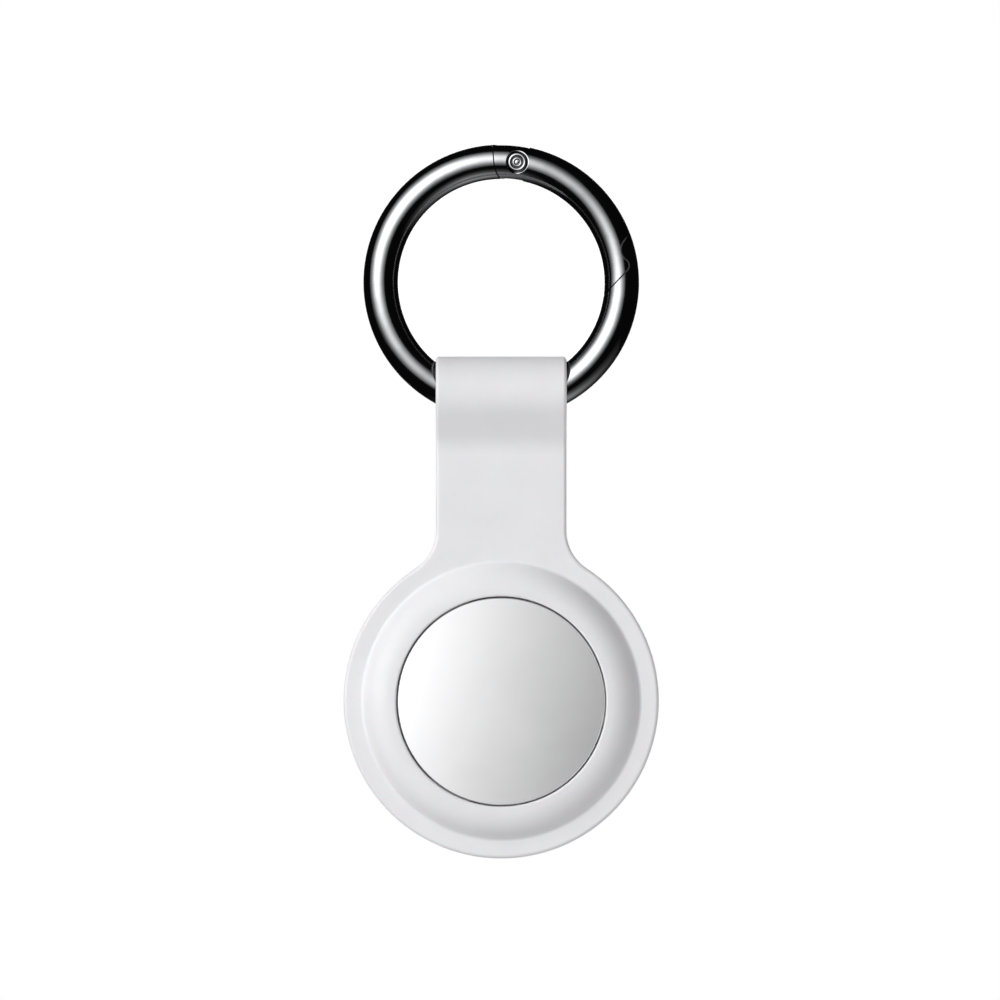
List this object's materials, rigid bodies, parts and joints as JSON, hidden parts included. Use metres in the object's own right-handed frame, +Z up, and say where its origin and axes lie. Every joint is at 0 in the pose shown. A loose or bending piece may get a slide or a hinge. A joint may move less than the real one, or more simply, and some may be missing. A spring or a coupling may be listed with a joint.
{
  "type": "tracker tag holder",
  "caption": "Silicone holder with a strap loop and round domed pocket for a coin-shaped tracker tag, hung on a dark spring gate ring; the gate opens inwards and the holder swings",
  "frame": {"origin": "centre of the ring's eye, on the middle plane of the ring and the strap", "axes": "X to the right of the steel cover's side, Y from the front to the back, Z up along the strap with the holder hanging"},
  "size_m": [0.0384, 0.009, 0.087],
  "materials": {
    "black_nickel": "polished black nickel plate",
    "spring_steel": "drawn spring steel",
    "silicone_white": "matte white silicone",
    "tag_white": "glossy white plastic",
    "cover_steel": "polished stainless sheet",
    "inner_plastic": "moulded white plastic",
    "seal_rubber": "black gasket rubber",
    "pad_foam": "grey foam",
    "cell_steel": "nickel plated can",
    "gasket_plastic": "natural nylon",
    "contact_metal": "gold plated leaf",
    "board_laminate": "green solder mask",
    "chip_plastic": "black moulded package",
    "magnet_plate": "nickel plated magnet",
    "coil_copper": "enamelled copper winding"
  },
  "bodies": {
    "ring": {"ring_frame": "black_nickel", "pivot_rivet": "black_nickel"},
    "gate": {"gate_arm": "black_nickel", "gate_spring": "spring_steel"},
    "plunger": {"spring_plunger": "spring_steel"},
    "holder": {"holder_sleeve": "silicone_white"},
    "tag": {"tag_shell": "tag_white", "battery_tray": "inner_plastic", "cell_can": "cell_steel", "cell_gasket": "gasket_plastic", "cell_cap": "cell_steel", "contact_negative": "contact_metal", "contacts_positive": "contact_metal", "circuit_board": "board_laminate", "board_chips": "chip_plastic", "speaker_magnet": "magnet_plate", "voice_coil": "coil_copper"},
    "cover": {"battery_cover": "cover_steel", "cover_bayonet": "inner_plastic", "cover_seal": "seal_rubber", "cell_pad": "pad_foam"}
  },
  "joints": [
    {"name": "gate_hinge", "type": "hinge", "parent": "ring", "child": "gate", "pos_m": [0.00194, 0, 0.01457], "axis": [0, 1, 0], "range_deg": [0, 40], "stiffness_Nm_per_rad": 0.01, "springref_deg": -57.3},
    {"name": "plunger_slide", "type": "slide", "parent": "gate", "child": "plunger", "axis": [0.9912, 0, -0.1323], "range_m": [0, 0.00048], "deforming": ["gate_spring"]},
    {"name": "holder_swing", "type": "hinge", "parent": "ring", "child": "holder", "pos_m": [0, 0, -0.0136], "axis": [1, 0, 0], "range_deg": [-150, 150]},
    {"name": "tag_turn", "type": "hinge", "parent": "holder", "child": "tag", "pos_m": [0, 0, -0.051], "axis": [0, 1, 0], "continuous": true},
    {"name": "cover_twist", "type": "hinge", "parent": "tag", "child": "cover", "pos_m": [0, 0, -0.051], "axis": [0, -1, 0], "range_deg": [0, 30]}
  ],
  "couplings": [
    {"joint": "plunger_slide", "follows": "gate_hinge", "m_per_rad": 0.00068587}
  ]
}
